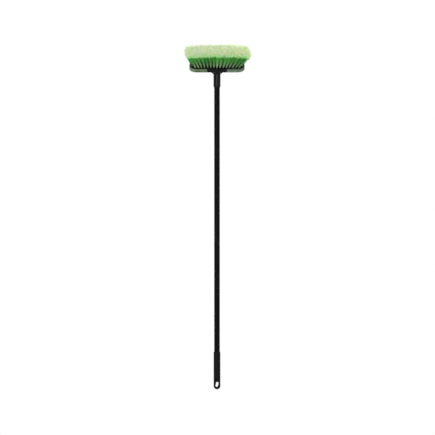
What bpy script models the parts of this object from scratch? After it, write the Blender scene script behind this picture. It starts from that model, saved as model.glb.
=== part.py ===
"""A long-handled car wash brush.

A tilted, tufted head with a soft bumper sits on a socket that screws onto the
pole; the pole ends in a grip with a hanging eye. Metres, +Z up the pole, and
the bristles lean towards -Y. The origin is on the pole's axis, where the hand
holds the grip.
"""
from math import atan2, cos, pi, radians, sin, sqrt, tau

import bmesh
import bpy
from mathutils import Matrix, Vector
from mathutils.geometry import delaunay_2d_cdt

# Clearances
GAP = 0.0003
CUT_OVERRUN = 0.002
WELD_OVERLAP = 0.001

# Pole tube
TUBE_RADIUS = 0.011
TUBE_WALL = 0.0011
TUBE_LENGTH = 1.172
TUBE_EDGE = 0.0004

# Grip
HOLD_HEIGHT = 0.085
GRIP_LENGTH = 0.1468
GRIP_RADIUS = 0.0131
GRIP_SHOULDER = 0.006
GRIP_LIP = 0.0014
GRIP_SOLID_END = 0.040
EYE_WIDTH = 0.0098
EYE_LENGTH = 0.019
EYE_HEIGHT = 0.0195
TAB_THICKNESS = 0.015
TAB_TOP = 0.036

# Threaded tip
PLUG_DEPTH = 0.032
PLUG_RELIEF = 0.0015
FLANGE_RADIUS = 0.0107
FLANGE_HEIGHT = 0.0015
THREAD_LENGTH = 0.0262
THREAD_PITCH = 0.00508
THREAD_ROOT_RADIUS = 0.0078
THREAD_CREST_RADIUS = 0.0094
THREAD_PLAY = 0.00035
THREAD_CHAMFER = 0.0025
ROOT_END_SHARE = 0.34
CREST_START_SHARE = 0.48
CREST_END_SHARE = 0.86

# Washer between the tip's flange and the step in the socket
WASHER_HEIGHT = 0.0015

# Socket sleeve under the head
SLEEVE_RADIUS = 0.0139
SKIRT_LENGTH = 0.0395
SLEEVE_TAPER_HEIGHT = 0.007
SLEEVE_MOUTH_WALL = 0.0009
THREAD_BORE_DEPTH = 0.0278
BORE_RELIEF_DEPTH = 0.002
FLARE_DROP = 0.0166
FLARE_HEIGHT = 0.0095
FLARE_WIDTH = 0.009
GUSSET_INSET = 0.0018
GUSSET_DROP = 0.0172
GUSSET_THICKNESS = 0.0036

# Head: how it sits on the socket
HEAD_TILT = radians(26.0)
FACE_RISE = 0.0486
FACE_FORWARD = 0.008

# Block
BLOCK_LENGTH = 0.2062
BLOCK_DEPTH = 0.062
BLOCK_THICKNESS = 0.016
BLOCK_CORNER = 0.0243
BLOCK_EDGE = 0.001
BLOCK_BACK_EDGE = 0.003

# Saddle that carries the block and runs up both of its long edges
SADDLE_WIDTH = 0.076
SADDLE_PLATE = 0.0042
SADDLE_FLANGE = 0.0044
SADDLE_TOP_DROP = 0.0008
SADDLE_CORNER_HEIGHT = 0.0148
SADDLE_SLOPE_RUN = 0.0115
SADDLE_EDGE = 0.0006

# Screws that hold the block to the saddle
SCREW_RADIUS = 0.002
SCREW_HEAD_RADIUS = 0.0039
SCREW_HEAD_HEIGHT = 0.0024
SCREW_HOLD = 0.0065
SCREW_SIDE_INSET = 0.0145
SLOT_WIDTH = 0.0011
SLOT_DEPTH = 0.0011

# Bumper strips around both ends of the block
BUMPER_THICKNESS = 0.0044
BUMPER_HEIGHT = 0.0152
BUMPER_TOP_DROP = 0.0006
BUMPER_ROUNDING = 0.0018
TONGUE_HEIGHT = 0.003
TONGUE_DEPTH = 0.0022

# Bristles
ROW_EDGE_INSET = 0.006
ROWS_EACH_SIDE = 2
TUFT_SPACING = 0.012
STRIP_WIDTH = 0.0064
STRIP_DEPTH = 0.005
STRIP_MARGIN = 0.0016
STRIPS_PER_ROW = 3
STRANDS_PER_TUFT = 6
TUFT_RADIUS = 0.0021
STRAND_ROOT_RADIUS = 0.0008
STRAND_TIP_RADIUS = 0.00065
TRIM_HEIGHT = 0.063
TIP_HALF_LENGTH = 0.128
TIP_HALF_DEPTH = 0.053
TIP_CORNER = 0.026
TIP_SPREAD_LENGTH = 0.0055
TIP_SPREAD_DEPTH = 0.007
CROWN_DROP = 0.0075

# Facets
ROUND_SIDES = 32
SMALL_SIDES = 16
CORNER_STEPS = 8
DOME_STEPS = 6
FLARE_STEPS = 4
THREAD_SIDES = 20
THREAD_RUNOUT_TURNS = 7
FILL_TOLERANCE_SHARE = 0.0001

# Heights along the pole that several pieces share
GRIP_FOOT_Z = -HOLD_HEIGHT
TUBE_FOOT_Z = GRIP_FOOT_Z + GRIP_SOLID_END + GAP
TUBE_TOP_Z = TUBE_FOOT_Z + TUBE_LENGTH
FLANGE_Z = TUBE_TOP_Z + GAP
WASHER_Z = FLANGE_Z + FLANGE_HEIGHT + GAP
STEP_Z = WASHER_Z + WASHER_HEIGHT + GAP
SLEEVE_FOOT_Z = STEP_Z - SKIRT_LENGTH
BORE_END_Z = STEP_Z + THREAD_BORE_DEPTH

# Levels in the head's own frame, down from the bristle face
BLOCK_BACK = -BLOCK_THICKNESS
SADDLE_TOP = BLOCK_BACK - GAP
SADDLE_BACK = SADDLE_TOP - SADDLE_PLATE
HEAD_HALF_DEPTH = BLOCK_DEPTH / 2 + GAP + SADDLE_FLANGE

# Distance between rows of tufts
ROW_SPACING = (BLOCK_DEPTH / 2 - ROW_EDGE_INSET) / ROWS_EACH_SIDE

# Edges sharper than this stay crisp
SMOOTH_ANGLE = radians(35.0)


def clear_scene():
    """Start from an empty file."""
    for thing in list(bpy.data.objects):
        bpy.data.objects.remove(thing, do_unlink=True)


def make_material(name, color, roughness, metallic=0.0):
    """One Principled material."""
    material = bpy.data.materials.new(name)
    material.use_nodes = True
    shader = material.node_tree.nodes["Principled BSDF"]
    shader.inputs["Base Color"].default_value = (*color, 1.0)
    shader.inputs["Roughness"].default_value = roughness
    shader.inputs["Metallic"].default_value = metallic
    return material


def add_object(name, bm, material=None, parent=None):
    """Close a bmesh into an object of the scene, its faces turned outward."""
    bmesh.ops.recalc_face_normals(bm, faces=bm.faces[:])
    mesh = bpy.data.meshes.new(name)
    bm.to_mesh(mesh)
    bm.free()
    mesh.shade_smooth()
    mesh.set_sharp_from_angle(angle=SMOOTH_ANGLE)
    item = bpy.data.objects.new(name, mesh)
    bpy.context.scene.collection.objects.link(item)
    item.parent = parent
    if material is not None:
        mesh.materials.append(material)
    return item


def add_tool(name, bm, parent=None):
    """A solid that only shapes others."""
    item = add_object(name, bm, parent=parent)
    item.hide_render = True
    item.display_type = "WIRE"
    return item


def add_empty(name, parent=None):
    """A plain empty, to carry a group."""
    item = bpy.data.objects.new(name, None)
    bpy.context.scene.collection.objects.link(item)
    item.parent = parent
    return item


def combine(item, tool, operation):
    """Add a Boolean step to an item."""
    step = item.modifiers.new(operation.title() + " " + tool.name, "BOOLEAN")
    step.operation = operation
    step.solver = "EXACT"
    step.object = tool


def turned(profile, sides, closed=False):
    """Turn (radius, height) points about Z; a closed profile makes a ring."""
    bm = bmesh.new()
    loops = []
    for radius, height in profile:
        if radius == 0:
            loops.append([bm.verts.new((0, 0, height))])
            continue
        angles = [tau * k / sides for k in range(sides)]
        loops.append([bm.verts.new((radius * cos(a), radius * sin(a), height)) for a in angles])
    pairs = list(zip(loops, loops[1:]))
    if closed:
        pairs.append((loops[-1], loops[0]))
    for low, high in pairs:
        join_loops(bm, low, high)
    return bm


def join_loops(bm, low, high):
    """Faces between two closed loops, either of which may be one point."""
    count = max(len(low), len(high))
    for k in range(count):
        after = (k + 1) % count
        corners = [low[k % len(low)], low[after % len(low)], high[after % len(high)], high[k % len(high)]]
        distinct = list(dict.fromkeys(corners))
        bm.faces.new(distinct)


def stacked(loops):
    """Closed loops of points, one after the other, capped at both ends."""
    bm = bmesh.new()
    rings = [[bm.verts.new(point) for point in loop] for loop in loops]
    for low, high in zip(rings, rings[1:]):
        join_loops(bm, low, high)
    bm.faces.new(rings[0])
    bm.faces.new(rings[-1])
    return bm


def box(low, high):
    """A box between two corners."""
    bm = bmesh.new()
    bmesh.ops.create_cube(bm, size=1.0)
    size = Vector(high) - Vector(low)
    centre = (Vector(high) + Vector(low)) / 2
    bm.transform(Matrix.Translation(centre) @ Matrix.Diagonal((*size, 1)))
    return bm


def prism(outline, place, low, high):
    """Extrude a flat outline; place(a, b, c) puts outline point (a, b) at depth c."""
    return stacked([[place(a, b, depth) for a, b in outline] for depth in (low, high)])


def arc_points(centre, radius, start, end, steps):
    """Points of an arc in its own plane, both ends included."""
    angles = [start + (end - start) * k / steps for k in range(steps + 1)]
    return [(centre[0] + radius * cos(a), centre[1] + radius * sin(a)) for a in angles]


def plan_stations(start_x=None):
    """Points and outward directions round the block's edge, seen from the bristles.

    With start_x they run only round the +X end, between the two long edges there.
    """
    half_length = BLOCK_LENGTH / 2
    half_depth = BLOCK_DEPTH / 2
    across = half_length - BLOCK_CORNER
    along = half_depth - BLOCK_CORNER
    corners = [(across, -along, -pi / 2), (across, along, 0), (-across, along, pi / 2), (-across, -along, pi)]
    if start_x is not None:
        corners = corners[:2]
    stations = []
    for x, y, start in corners:
        for k in range(CORNER_STEPS + 1):
            angle = start + pi / 2 * k / CORNER_STEPS
            outward = Vector((cos(angle), sin(angle), 0))
            stations.append((Vector((x, y, 0)) + outward * BLOCK_CORNER, outward))
    if start_x is not None:
        first = (Vector((start_x, -half_depth, 0)), Vector((0, -1, 0)))
        last = (Vector((start_x, half_depth, 0)), Vector((0, 1, 0)))
        stations = [first] + stations + [last]
    return stations


def plan_half_length(depth, inset):
    """Half the block's length at a distance from its middle line, less an inset."""
    corner = BLOCK_CORNER - inset
    along = BLOCK_DEPTH / 2 - BLOCK_CORNER
    across = BLOCK_LENGTH / 2 - BLOCK_CORNER
    into_corner = max(abs(depth) - along, 0)
    return across + sqrt(max(corner ** 2 - into_corner ** 2, 0))


def thread_form(name, play, low, high, envelope):
    """A right-hand trapezoid thread about Z, trimmed to an envelope."""
    share_play = play / THREAD_PITCH
    root = THREAD_ROOT_RADIUS + play
    crest = THREAD_CREST_RADIUS + play
    turn = [
        (share_play, root),
        (ROOT_END_SHARE - share_play, root),
        (CREST_START_SHARE - share_play, crest),
        (CREST_END_SHARE + share_play, crest),
    ]
    turns = int((high - low) / THREAD_PITCH) + THREAD_RUNOUT_TURNS
    rows = [(THREAD_PITCH * (k - 2 + share), radius) for k in range(turns) for share, radius in turn]
    bm = bmesh.new()
    grid = []
    for side in range(THREAD_SIDES):
        angle = tau * side / THREAD_SIDES
        rise = low + THREAD_PITCH * side / THREAD_SIDES
        grid.append([bm.verts.new((r * cos(angle), r * sin(angle), z + rise)) for z, r in rows])
    per_turn = len(turn)
    last = len(rows) - per_turn - 1
    for side in range(THREAD_SIDES):
        shift = per_turn if side == THREAD_SIDES - 1 else 0
        here = grid[side]
        there = grid[(side + 1) % THREAD_SIDES]
        for row in range(last):
            bm.faces.new([here[row], there[row + shift], there[row + 1 + shift], here[row + 1]])
    for row, step in ((0, 1), (last, -1)):
        rim = [column[row] for column in grid]
        rim += [grid[0][row + k] for k in range(per_turn, 0, -1)]
        middle = bm.verts.new((0, 0, rim[0].co.z + THREAD_PITCH / 2))
        for k, vert in enumerate(rim):
            after = rim[(k + 1) % len(rim)]
            bm.faces.new([vert, after, middle][::step])
    form = add_tool(name, bm)
    combine(form, envelope, "INTERSECT")
    return form


def make_tube(material):
    """Steel tube with a thin wall, open at both ends."""
    outer = TUBE_RADIUS
    inner = TUBE_RADIUS - TUBE_WALL
    profile = [
        (inner, TUBE_FOOT_Z),
        (outer - TUBE_EDGE, TUBE_FOOT_Z),
        (outer, TUBE_FOOT_Z + TUBE_EDGE),
        (outer, TUBE_TOP_Z - TUBE_EDGE),
        (outer - TUBE_EDGE, TUBE_TOP_Z),
        (inner, TUBE_TOP_Z),
    ]
    add_object("pole_tube", turned(profile, ROUND_SIDES, closed=True), material)


def make_grip(material):
    """Soft sleeve over the tube's foot, with a flattened tab and a hanging eye."""
    dome = arc_points((0, GRIP_FOOT_Z + GRIP_RADIUS), GRIP_RADIUS, -pi / 2, 0, DOME_STEPS)
    top = GRIP_FOOT_Z + GRIP_LENGTH
    bore = TUBE_RADIUS + GAP
    profile = [(0, dome[0][1])] + dome[1:]
    profile += [
        (GRIP_RADIUS, top - GRIP_SHOULDER),
        (bore + GRIP_LIP, top - GRIP_LIP),
        (bore + GRIP_LIP / 2, top),
        (bore, top),
        (bore, TUBE_FOOT_Z - GAP),
        (0, TUBE_FOOT_Z - GAP),
    ]
    grip = add_object("grip", turned(profile, ROUND_SIDES), material)
    reach = GRIP_RADIUS + CUT_OVERRUN
    tab_top = GRIP_FOOT_Z + TAB_TOP
    for side, name in ((-1, "tab_front_cut"), (1, "tab_back_cut")):
        outline = [
            (side * TAB_THICKNESS / 2, GRIP_FOOT_Z - CUT_OVERRUN),
            (side * reach, GRIP_FOOT_Z - CUT_OVERRUN),
            (side * reach, tab_top + reach - TAB_THICKNESS / 2),
            (side * TAB_THICKNESS / 2, tab_top),
        ]
        cutter = prism(outline, lambda a, b, c: (c, a, b), -reach, reach)
        combine(grip, add_tool(name, cutter), "DIFFERENCE")
    half_straight = (EYE_LENGTH - EYE_WIDTH) / 2
    middle = GRIP_FOOT_Z + EYE_HEIGHT
    outline = arc_points((0, middle + half_straight), EYE_WIDTH / 2, 0, pi, CORNER_STEPS)
    outline += arc_points((0, middle - half_straight), EYE_WIDTH / 2, pi, tau, CORNER_STEPS)
    eye = prism(outline, lambda a, b, c: (a, c, b), -reach, reach)
    combine(grip, add_tool("eye_cut", eye), "DIFFERENCE")


def make_threaded_tip(material):
    """Moulded plug in the tube's top end, with a flange and a coarse thread."""
    plug = TUBE_RADIUS - TUBE_WALL - GAP
    foot = TUBE_TOP_Z - PLUG_DEPTH
    seat = FLANGE_Z + FLANGE_HEIGHT
    tip_top = seat + THREAD_LENGTH
    profile = [
        (0, foot),
        (plug - PLUG_RELIEF, foot),
        (plug, foot + PLUG_RELIEF),
        (plug, FLANGE_Z),
        (FLANGE_RADIUS, FLANGE_Z),
        (FLANGE_RADIUS, seat),
        (0, seat),
    ]
    tip = add_object("threaded_tip", turned(profile, ROUND_SIDES), material)
    reach = THREAD_CREST_RADIUS + CUT_OVERRUN
    envelope = [
        (0, seat - WELD_OVERLAP),
        (reach, seat - WELD_OVERLAP),
        (reach, tip_top - THREAD_CHAMFER - CUT_OVERRUN),
        (THREAD_CREST_RADIUS - THREAD_CHAMFER, tip_top),
        (0, tip_top),
    ]
    trim = add_tool("tip_envelope", turned(envelope, ROUND_SIDES))
    thread = thread_form("tip_thread", 0, STEP_Z, tip_top, trim)
    combine(tip, thread, "UNION")


def make_washer(material, parent):
    """Flat washer that the flange and the step in the socket close on."""
    inner = THREAD_CREST_RADIUS + GAP
    outer = TUBE_RADIUS
    profile = [
        (inner, WASHER_Z),
        (outer, WASHER_Z),
        (outer, WASHER_Z + WASHER_HEIGHT),
        (inner, WASHER_Z + WASHER_HEIGHT),
    ]
    add_object("socket_washer", turned(profile, ROUND_SIDES, closed=True), material, parent)


def socket_cutter():
    """The socket's inside: a plain skirt bore, then the thread and its relief."""
    skirt = TUBE_RADIUS + GAP
    top = BORE_END_Z - BORE_RELIEF_DEPTH
    crest = THREAD_CREST_RADIUS + THREAD_PLAY
    profile = [
        (0, SLEEVE_FOOT_Z - CUT_OVERRUN),
        (skirt, SLEEVE_FOOT_Z - CUT_OVERRUN),
        (skirt, STEP_Z),
        (0, STEP_Z),
    ]
    cutter = add_tool("skirt_cut", turned(profile, ROUND_SIDES))
    relief_profile = [(0, top), (crest, top), (crest, BORE_END_Z), (0, BORE_END_Z)]
    relief = add_tool("relief_cut", turned(relief_profile, ROUND_SIDES))
    reach = crest + CUT_OVERRUN
    envelope = [
        (0, STEP_Z - WELD_OVERLAP),
        (reach, STEP_Z - WELD_OVERLAP),
        (reach, top + WELD_OVERLAP),
        (0, top + WELD_OVERLAP),
    ]
    trim = add_tool("bore_envelope", turned(envelope, ROUND_SIDES))
    thread = thread_form("bore_thread", THREAD_PLAY, STEP_Z, BORE_END_Z, trim)
    combine(cutter, thread, "UNION")
    combine(cutter, relief, "UNION")
    return cutter


def make_saddle(material, axis, tilt):
    """The moulding that carries the block: plate, flanges, gussets and socket."""
    flange = HEAD_HALF_DEPTH
    inner = BLOCK_DEPTH / 2 + GAP
    half = [
        (inner, -SADDLE_TOP_DROP),
        (flange - SADDLE_EDGE, -SADDLE_TOP_DROP),
        (flange, -SADDLE_TOP_DROP - SADDLE_EDGE),
        (flange, -SADDLE_CORNER_HEIGHT),
        (flange - SADDLE_SLOPE_RUN, SADDLE_BACK),
    ]
    inner_low = [(inner, SADDLE_TOP + BLOCK_BACK_EDGE), (inner - BLOCK_BACK_EDGE, SADDLE_TOP)]
    outline = half + [(-y, z) for y, z in reversed(half)]
    outline += [(-y, z) for y, z in inner_low] + list(reversed(inner_low))
    plate = prism(outline, lambda a, b, c: (c, a, b), -SADDLE_WIDTH / 2, SADDLE_WIDTH / 2)
    saddle = add_object("saddle", plate, material, tilt)

    mouth = TUBE_RADIUS + GAP + SLEEVE_MOUTH_WALL
    top = STEP_Z + FACE_RISE
    flare_foot = BORE_END_Z - FLARE_DROP
    sleeve = [
        (0, SLEEVE_FOOT_Z),
        (mouth, SLEEVE_FOOT_Z),
        (SLEEVE_RADIUS, SLEEVE_FOOT_Z + SLEEVE_TAPER_HEIGHT),
    ]
    for step in range(FLARE_STEPS + 1):
        angle = pi / 2 * step / FLARE_STEPS
        radius = SLEEVE_RADIUS + FLARE_WIDTH * (1 - cos(angle))
        sleeve.append((radius, flare_foot + FLARE_HEIGHT * sin(angle)))
    sleeve += [(SLEEVE_RADIUS + FLARE_WIDTH, top), (0, top)]
    combine(saddle, add_tool("sleeve", turned(sleeve, ROUND_SIDES), axis), "UNION")

    underside = STEP_Z + FACE_RISE + (FACE_FORWARD * sin(HEAD_TILT) + SADDLE_BACK) / cos(HEAD_TILT)
    low = underside - GUSSET_DROP
    reach = SADDLE_WIDTH / 2 - GUSSET_INSET
    outline = [
        (-SLEEVE_RADIUS, low),
        (SLEEVE_RADIUS, low),
        (reach, underside),
        (reach, underside + WELD_OVERLAP),
        (-reach, underside + WELD_OVERLAP),
        (-reach, underside),
    ]
    gusset = prism(outline, lambda a, b, c: (a, c, b), -GUSSET_THICKNESS / 2, GUSSET_THICKNESS / 2)
    combine(saddle, add_tool("gussets", gusset, axis), "UNION")

    room = box(
        (-SADDLE_WIDTH, -inner, SADDLE_TOP),
        (SADDLE_WIDTH, inner, TRIM_HEIGHT),
    )
    seat = add_tool("block_room", room, tilt)
    corner_fill = room_corner_tools(inner, tilt)
    for tool in corner_fill:
        combine(seat, tool, "DIFFERENCE")
    combine(saddle, seat, "DIFFERENCE")
    combine(saddle, socket_cutter(), "DIFFERENCE")
    return saddle


def room_corner_tools(inner, tilt):
    """Wedges that keep the saddle's inner corners when the block's room is cut."""
    tools = []
    for side, name in ((-1, "front_corner"), (1, "back_corner")):
        outline = [
            (side * (inner - BLOCK_BACK_EDGE), SADDLE_TOP),
            (side * (inner - BLOCK_BACK_EDGE), SADDLE_TOP - CUT_OVERRUN),
            (side * (inner + CUT_OVERRUN), SADDLE_TOP - CUT_OVERRUN),
            (side * (inner + CUT_OVERRUN), SADDLE_TOP + BLOCK_BACK_EDGE),
            (side * inner, SADDLE_TOP + BLOCK_BACK_EDGE),
        ]
        reach = SADDLE_WIDTH + CUT_OVERRUN
        tools.append(add_tool(name, prism(outline, lambda a, b, c: (c, a, b), -reach, reach), tilt))
    return tools


def make_block(material, tilt):
    """Flat block with a groove round its edge for the bumper's tongue."""
    groove_top = -BUMPER_TOP_DROP - (BUMPER_HEIGHT - TONGUE_HEIGHT) / 2 + GAP
    groove_low = groove_top - TONGUE_HEIGHT - 2 * GAP
    groove = -TONGUE_DEPTH - GAP
    levels = [
        (-BLOCK_BACK_EDGE, BLOCK_BACK),
        (0, BLOCK_BACK + BLOCK_BACK_EDGE),
        (0, groove_low),
        (groove, groove_low),
        (groove, groove_top),
        (0, groove_top),
        (0, -BLOCK_EDGE),
        (-BLOCK_EDGE, 0),
    ]
    stations = plan_stations()
    loops = []
    for offset, level in levels:
        loops.append([point + outward * offset + Vector((0, 0, level)) for point, outward in stations])
    return add_object("block", stacked(loops), material, tilt)


def make_bumper(name, side, material, tilt):
    """Soft strip round one end of the block, its tongue in the block's groove."""
    top = -BUMPER_TOP_DROP
    low = top - BUMPER_HEIGHT
    tongue_top = top - (BUMPER_HEIGHT - TONGUE_HEIGHT) / 2
    tongue_low = tongue_top - TONGUE_HEIGHT
    near = GAP
    far = GAP + BUMPER_THICKNESS
    profile = [
        (near, top),
        (far - BUMPER_ROUNDING, top),
        (far - BUMPER_ROUNDING / 4, top - BUMPER_ROUNDING / 2),
        (far, top - 2 * BUMPER_ROUNDING),
        (far, low + 2 * BUMPER_ROUNDING),
        (far - BUMPER_ROUNDING / 4, low + BUMPER_ROUNDING / 2),
        (far - BUMPER_ROUNDING, low),
        (near, low),
        (near, tongue_low),
        (-TONGUE_DEPTH, tongue_low),
        (-TONGUE_DEPTH, tongue_top),
        (near, tongue_top),
    ]
    sections = []
    for point, outward in plan_stations(SADDLE_WIDTH / 2 + GAP):
        section = [point + outward * offset + Vector((0, 0, level)) for offset, level in profile]
        sections.append([Vector((side * p.x, p.y, p.z)) for p in section])
    add_object(name, stacked(sections), material, tilt)


def screw_places():
    """Names and places of the four saddle screws, midway from the flare to the saddle's ends."""
    half_spacing = (SLEEVE_RADIUS + FLARE_WIDTH + SADDLE_WIDTH / 2) / 2
    half_depth = BLOCK_DEPTH / 2 - SCREW_SIDE_INSET
    places = []
    for y_side, y_name in ((-1, "front"), (1, "back")):
        for x_side, x_name in ((-1, "left"), (1, "right")):
            name = "screw_" + y_name + "_" + x_name
            places.append((name, x_side * half_spacing, y_side * half_depth))
    return places


def make_screws(material, tilt, saddle, block):
    """Pan-head screws through the saddle's plate into the block."""
    head_top = SADDLE_BACK - GAP
    head_low = head_top - SCREW_HEAD_HEIGHT
    point = BLOCK_BACK + SCREW_HOLD
    edge = SCREW_HEAD_HEIGHT / 3
    profile = [
        (0, head_low),
        (SCREW_HEAD_RADIUS - edge, head_low),
        (SCREW_HEAD_RADIUS, head_low + edge),
        (SCREW_HEAD_RADIUS, head_top),
        (SCREW_RADIUS, head_top),
        (SCREW_RADIUS, point - SCREW_RADIUS),
        (0, point),
    ]
    hole = SCREW_RADIUS + GAP
    hole_profile = [
        (0, SADDLE_BACK - CUT_OVERRUN),
        (hole, SADDLE_BACK - CUT_OVERRUN),
        (hole, point + GAP),
        (0, point + GAP),
    ]
    reach = SCREW_HEAD_RADIUS - edge
    for name, x, y in screw_places():
        screw = add_object(name, turned(profile, SMALL_SIDES), material, tilt)
        screw.location = (x, y, 0)
        low = head_low - CUT_OVERRUN
        slots = box((-reach, -SLOT_WIDTH / 2, low), (reach, SLOT_WIDTH / 2, head_low + SLOT_DEPTH))
        cross = box((-SLOT_WIDTH / 2, -reach, low), (SLOT_WIDTH / 2, reach, head_low + SLOT_DEPTH))
        for label, shape in (("_slot", slots), ("_cross", cross)):
            tool = add_tool(name + label, shape, tilt)
            tool.location = (x, y, 0)
            combine(screw, tool, "DIFFERENCE")
        drill = add_tool(name + "_hole", turned(hole_profile, SMALL_SIDES), tilt)
        drill.location = (x, y, 0)
        combine(saddle, drill, "DIFFERENCE")
        combine(block, drill, "DIFFERENCE")


def row_places():
    """Each row: its depth, its strip's half length and its tufts' places.

    Every other row has one tuft fewer, so that the tufts of neighbours stand between each other.
    """
    rows = []
    for index in range(-ROWS_EACH_SIDE, ROWS_EACH_SIDE + 1):
        depth = index * ROW_SPACING
        half = plan_half_length(abs(depth) + STRIP_WIDTH / 2, STRIP_MARGIN)
        last = half - STRIP_WIDTH / 2
        count = round(2 * last / TUFT_SPACING) + 1 - index % 2
        places = [last * (2 * k / (count - 1) - 1) for k in range(count)]
        rows.append((index, depth, half, places))
    return rows


def tip_half_length(depth):
    """Half the length of the trimmed bristles at a distance from the middle line."""
    straight = TIP_HALF_DEPTH - TIP_CORNER
    into_corner = max(abs(depth) - straight, 0)
    return TIP_HALF_LENGTH - TIP_CORNER + sqrt(max(TIP_CORNER ** 2 - into_corner ** 2, 0))


def tuft_strands(x, depth, last):
    """Root and tip of each strand of one tuft; nearby strands never cross.

    The row stands at this depth and its last tuft at x = last. The tips fan out and are
    trimmed to a crown.
    """
    across = (TIP_HALF_DEPTH - TIP_SPREAD_DEPTH) / (ROWS_EACH_SIDE * ROW_SPACING)
    middle_y = depth * across
    middle_x = x / last * (tip_half_length(middle_y) - TIP_SPREAD_LENGTH)
    strands = []
    for k in range(STRANDS_PER_TUFT):
        angle = tau * k / STRANDS_PER_TUFT
        root = Vector((x + TUFT_RADIUS * cos(angle), depth + TUFT_RADIUS * sin(angle), 0))
        tip_x = middle_x + TIP_SPREAD_LENGTH * cos(angle)
        tip_y = middle_y + TIP_SPREAD_DEPTH * sin(angle)
        height = TRIM_HEIGHT - CROWN_DROP * abs(tip_x / TIP_HALF_LENGTH) ** 3
        strands.append((root, Vector((tip_x, tip_y, height))))
    return strands


def strand_section(centre, radius, facing):
    """The three corners of a strand, level with the face."""
    angles = [facing + tau * k / 3 for k in range(3)]
    return [centre + Vector((radius * cos(a), radius * sin(a), 0)) for a in angles]


def make_strip(name, low_x, high_x, depth, places, last, material, tilt):
    """A slice of the block's face with its tufts standing out of it."""
    bm = bmesh.new()
    low_y = depth - STRIP_WIDTH / 2
    high_y = depth + STRIP_WIDTH / 2
    corners = [(low_x, low_y), (high_x, low_y), (high_x, high_y), (low_x, high_y)]
    floor = [bm.verts.new((x, y, -STRIP_DEPTH)) for x, y in corners]
    rim = [bm.verts.new((x, y, 0)) for x, y in corners]
    bm.faces.new(floor)
    join_loops(bm, floor, rim)
    bases = []
    for place in places:
        for root, tip in tuft_strands(place, depth, last):
            facing = atan2(root.y - depth, root.x - place)
            base = [bm.verts.new(p) for p in strand_section(root, STRAND_ROOT_RADIUS, facing)]
            end = [bm.verts.new(p) for p in strand_section(tip, STRAND_TIP_RADIUS, facing)]
            join_loops(bm, base, end)
            bm.faces.new(end)
            bases.append(base)
    fill_round(bm, rim, bases)
    add_object(name, bm, material, tilt)


def fill_round(bm, rim, holes):
    """Fill a flat rim with triangles, leaving out the holes in it."""
    loops = [rim] + holes
    verts = [vert for loop in loops for vert in loop]
    edges = []
    first = 0
    for loop in loops:
        count = len(loop)
        edges += [(first + k, first + (k + 1) % count) for k in range(count)]
        first += count
    owner = [index for index, loop in enumerate(loops) for _ in loop]
    flat = [Vector((v.co.x, v.co.y)) / STRAND_ROOT_RADIUS for v in verts]
    found = delaunay_2d_cdt(flat, edges, [], 1, FILL_TOLERANCE_SHARE)
    triangles, sources = found[2], found[3]
    for triangle in triangles:
        corners = [sources[k][0] for k in triangle]
        owners = {owner[k] for k in corners}
        is_hole = len(owners) == 1 and 0 not in owners
        if not is_hole:
            bm.faces.new([verts[k] for k in corners])


def make_tufts(material, tilt, block):
    """Rows of tufts, each row in three strips let into the block's face."""
    for index, depth, half, places in row_places():
        reach = half + GAP
        width = STRIP_WIDTH / 2 + GAP
        channel = box((-reach, depth - width, -STRIP_DEPTH - GAP), (reach, depth + width, CUT_OVERRUN))
        row = index + ROWS_EACH_SIDE + 1
        combine(block, add_tool("row_%d_channel" % row, channel, tilt), "DIFFERENCE")
        cuts = [round(len(places) * k / STRIPS_PER_ROW) for k in range(STRIPS_PER_ROW + 1)]
        for k, label in enumerate(("left", "middle", "right")):
            start, stop = cuts[k], cuts[k + 1]
            low_x = -half if k == 0 else (places[start - 1] + places[start]) / 2 + GAP / 2
            high_x = half if k == STRIPS_PER_ROW - 1 else (places[stop - 1] + places[stop]) / 2 - GAP / 2
            name = "tufts_row_%d_%s" % (row, label)
            make_strip(name, low_x, high_x, depth, places[start:stop], places[-1], material, tilt)


def build():
    """Make every piece."""
    clear_scene()
    pole_black = make_material("pole_black", (0.012, 0.012, 0.012), 0.35, 0.3)
    grip_black = make_material("grip_black", (0.012, 0.012, 0.012), 0.6)
    plastic_black = make_material("plastic_black", (0.02, 0.02, 0.021), 0.45)
    washer_black = make_material("washer_rubber", (0.015, 0.015, 0.015), 0.8)
    bumper_green = make_material("bumper_grey_green", (0.14, 0.2, 0.13), 0.55)
    screw_steel = make_material("screw_steel", (0.6, 0.6, 0.62), 0.3, 1.0)
    bristle_green = make_material("bristle_green", (0.06, 0.25, 0.05), 0.5)

    axis = add_empty("head_axis")
    tilt = add_empty("head_tilt", axis)
    tilt.location = (0, -FACE_FORWARD, STEP_Z + FACE_RISE)
    tilt.rotation_euler = (HEAD_TILT, 0, 0)
    washer_axis = add_empty("washer_axis")

    make_tube(pole_black)
    make_grip(grip_black)
    make_threaded_tip(plastic_black)
    make_washer(washer_black, washer_axis)
    saddle = make_saddle(plastic_black, axis, tilt)
    block = make_block(plastic_black, tilt)
    make_bumper("bumper_left", -1, bumper_green, tilt)
    make_bumper("bumper_right", 1, bumper_green, tilt)
    make_screws(screw_steel, tilt, saddle, block)
    make_tufts(bristle_green, tilt, block)


build()
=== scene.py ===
"""Car wash brush: the finished looks of a pole brush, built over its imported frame.

Everything is in metres in the frame's own axes: the pole stands along +Z and the bristles face up
and towards -Y.
"""

import math

import bmesh
import bpy
from mathutils import Matrix, Vector


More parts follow.
